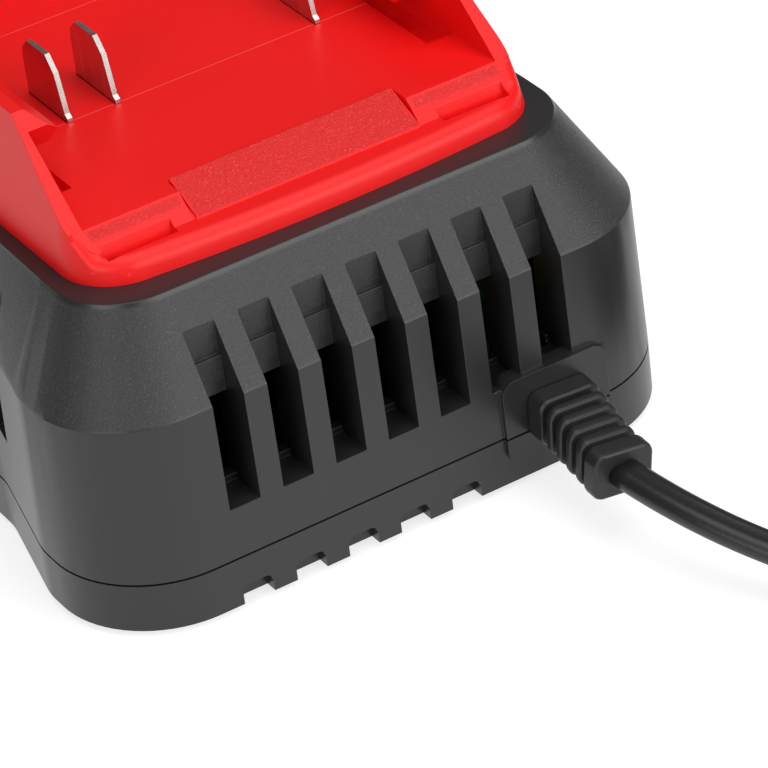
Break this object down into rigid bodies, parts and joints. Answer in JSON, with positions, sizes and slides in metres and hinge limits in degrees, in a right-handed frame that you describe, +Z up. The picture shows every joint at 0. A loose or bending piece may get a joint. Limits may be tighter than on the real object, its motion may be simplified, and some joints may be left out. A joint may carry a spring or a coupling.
{
  "type": "power tool battery charger",
  "caption": "Slide-pack battery charger for power tools: vented black casing, red pack cradle with guide rails and standing terminal blades, ribbed strain relief, flat mains cord and plug.",
  "frame": {"origin": "centre of the standing charger's base, at the height of its rubber feet, the strain relief counted in and the cord left out", "axes": "+Z up, +X along the vented front wall towards the strain relief, +Y from the cord end to the back of the casing"},
  "size_m": [0.1875, 0.222, 0.0692],
  "materials": {
    "casing_black": "fine texture, satin wall",
    "cradle_red": "satin gloss",
    "relief_black": "matte",
    "insulator_black": "matte",
    "terminal_steel": "stamped bright",
    "board_green": "solder mask",
    "insulator_sheet": "matte",
    "ferrite": "matte",
    "copper_winding": "enamelled",
    "capacitor_can": "sleeved",
    "filter_yellow": "matte",
    "varistor_blue": "matte",
    "chip_black": "matte",
    "heat_sink_metal": "extruded",
    "fuse_glass": "clear",
    "led_red": "diffused",
    "led_green": "diffused",
    "light_pipe_clear": "frosted",
    "lead_insulation": "matte",
    "screw_steel": "zinc plated",
    "foot_rubber": "matte",
    "cord_black": "smooth satin",
    "tie_black": "woven",
    "plug_black": "satin",
    "pin_nickel": "bright"
  },
  "bodies": {
    "root": {"bottom_tray": "casing_black", "upper_housing": "casing_black", "battery_cradle": "cradle_red", "strain_relief": "relief_black", "terminal_block": "insulator_black", "blade_outer_left": "terminal_steel", "blade_inner_left": "terminal_steel", "blade_right": "terminal_steel", "main_board": "board_green", "insulation_sheet": "insulator_sheet", "transformer_core": "ferrite", "transformer_winding": "copper_winding", "input_capacitor": "capacitor_can", "output_capacitor": "capacitor_can", "standby_capacitor": "capacitor_can", "filter_capacitor": "filter_yellow", "varistor": "varistor_blue", "bridge_rectifier": "chip_black", "control_chip": "chip_black", "charge_controller": "chip_black", "optocoupler": "chip_black", "primary_heat_sink": "heat_sink_metal", "switching_transistor": "chip_black", "secondary_heat_sink": "heat_sink_metal", "output_rectifier": "chip_black", "input_choke_core": "ferrite", "input_choke_winding": "copper_winding", "fuse_tube": "fuse_glass", "fuse_clips": "terminal_steel", "status_led_red": "led_red", "light_pipe_red": "light_pipe_clear", "status_led_green": "led_green", "light_pipe_green": "light_pipe_clear", "lead_outer_left": "lead_insulation", "lead_inner_left": "lead_insulation", "lead_right": "lead_insulation", "mains_lead_live": "lead_insulation", "mains_lead_neutral": "lead_insulation", "housing_screws": "screw_steel", "cradle_screws": "screw_steel", "board_screws": "screw_steel", "terminal_screws": "screw_steel", "foot_front_left": "foot_rubber", "foot_front_right": "foot_rubber", "foot_back_left": "foot_rubber", "foot_back_right": "foot_rubber", "mains_cord": "cord_black", "cord_coil": "cord_black", "cord_tail": "cord_black", "cord_tie": "tie_black", "plug_body": "plug_black", "plug_pin_left": "pin_nickel", "plug_pin_right": "pin_nickel"}
  },
  "joints": []
}
